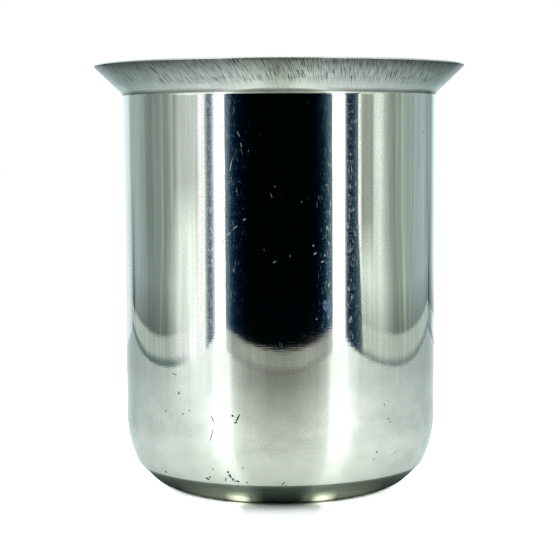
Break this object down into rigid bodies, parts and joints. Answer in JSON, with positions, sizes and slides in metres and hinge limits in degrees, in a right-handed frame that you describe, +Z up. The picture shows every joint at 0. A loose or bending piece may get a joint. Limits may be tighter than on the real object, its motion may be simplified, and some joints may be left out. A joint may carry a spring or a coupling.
{
  "type": "deep metal bowl",
  "caption": "Deep straight-sided steel bowl, drawn in one piece, with a flared lip, a large rounded lower corner and a flat ring foot.",
  "frame": {"origin": "centre of the bowl's axis on the plane that its foot ring stands on", "axes": "+Z up along the bowl's axis, out of its mouth; X and Y are level and the bowl is the same all round"},
  "size_m": [0.0758, 0.0758, 0.0865],
  "materials": {
    "polished_steel": "mirror polished on the wall, with a radially ground lip and a duller underside"
  },
  "bodies": {
    "root": {"bowl": "polished_steel"}
  },
  "joints": []
}
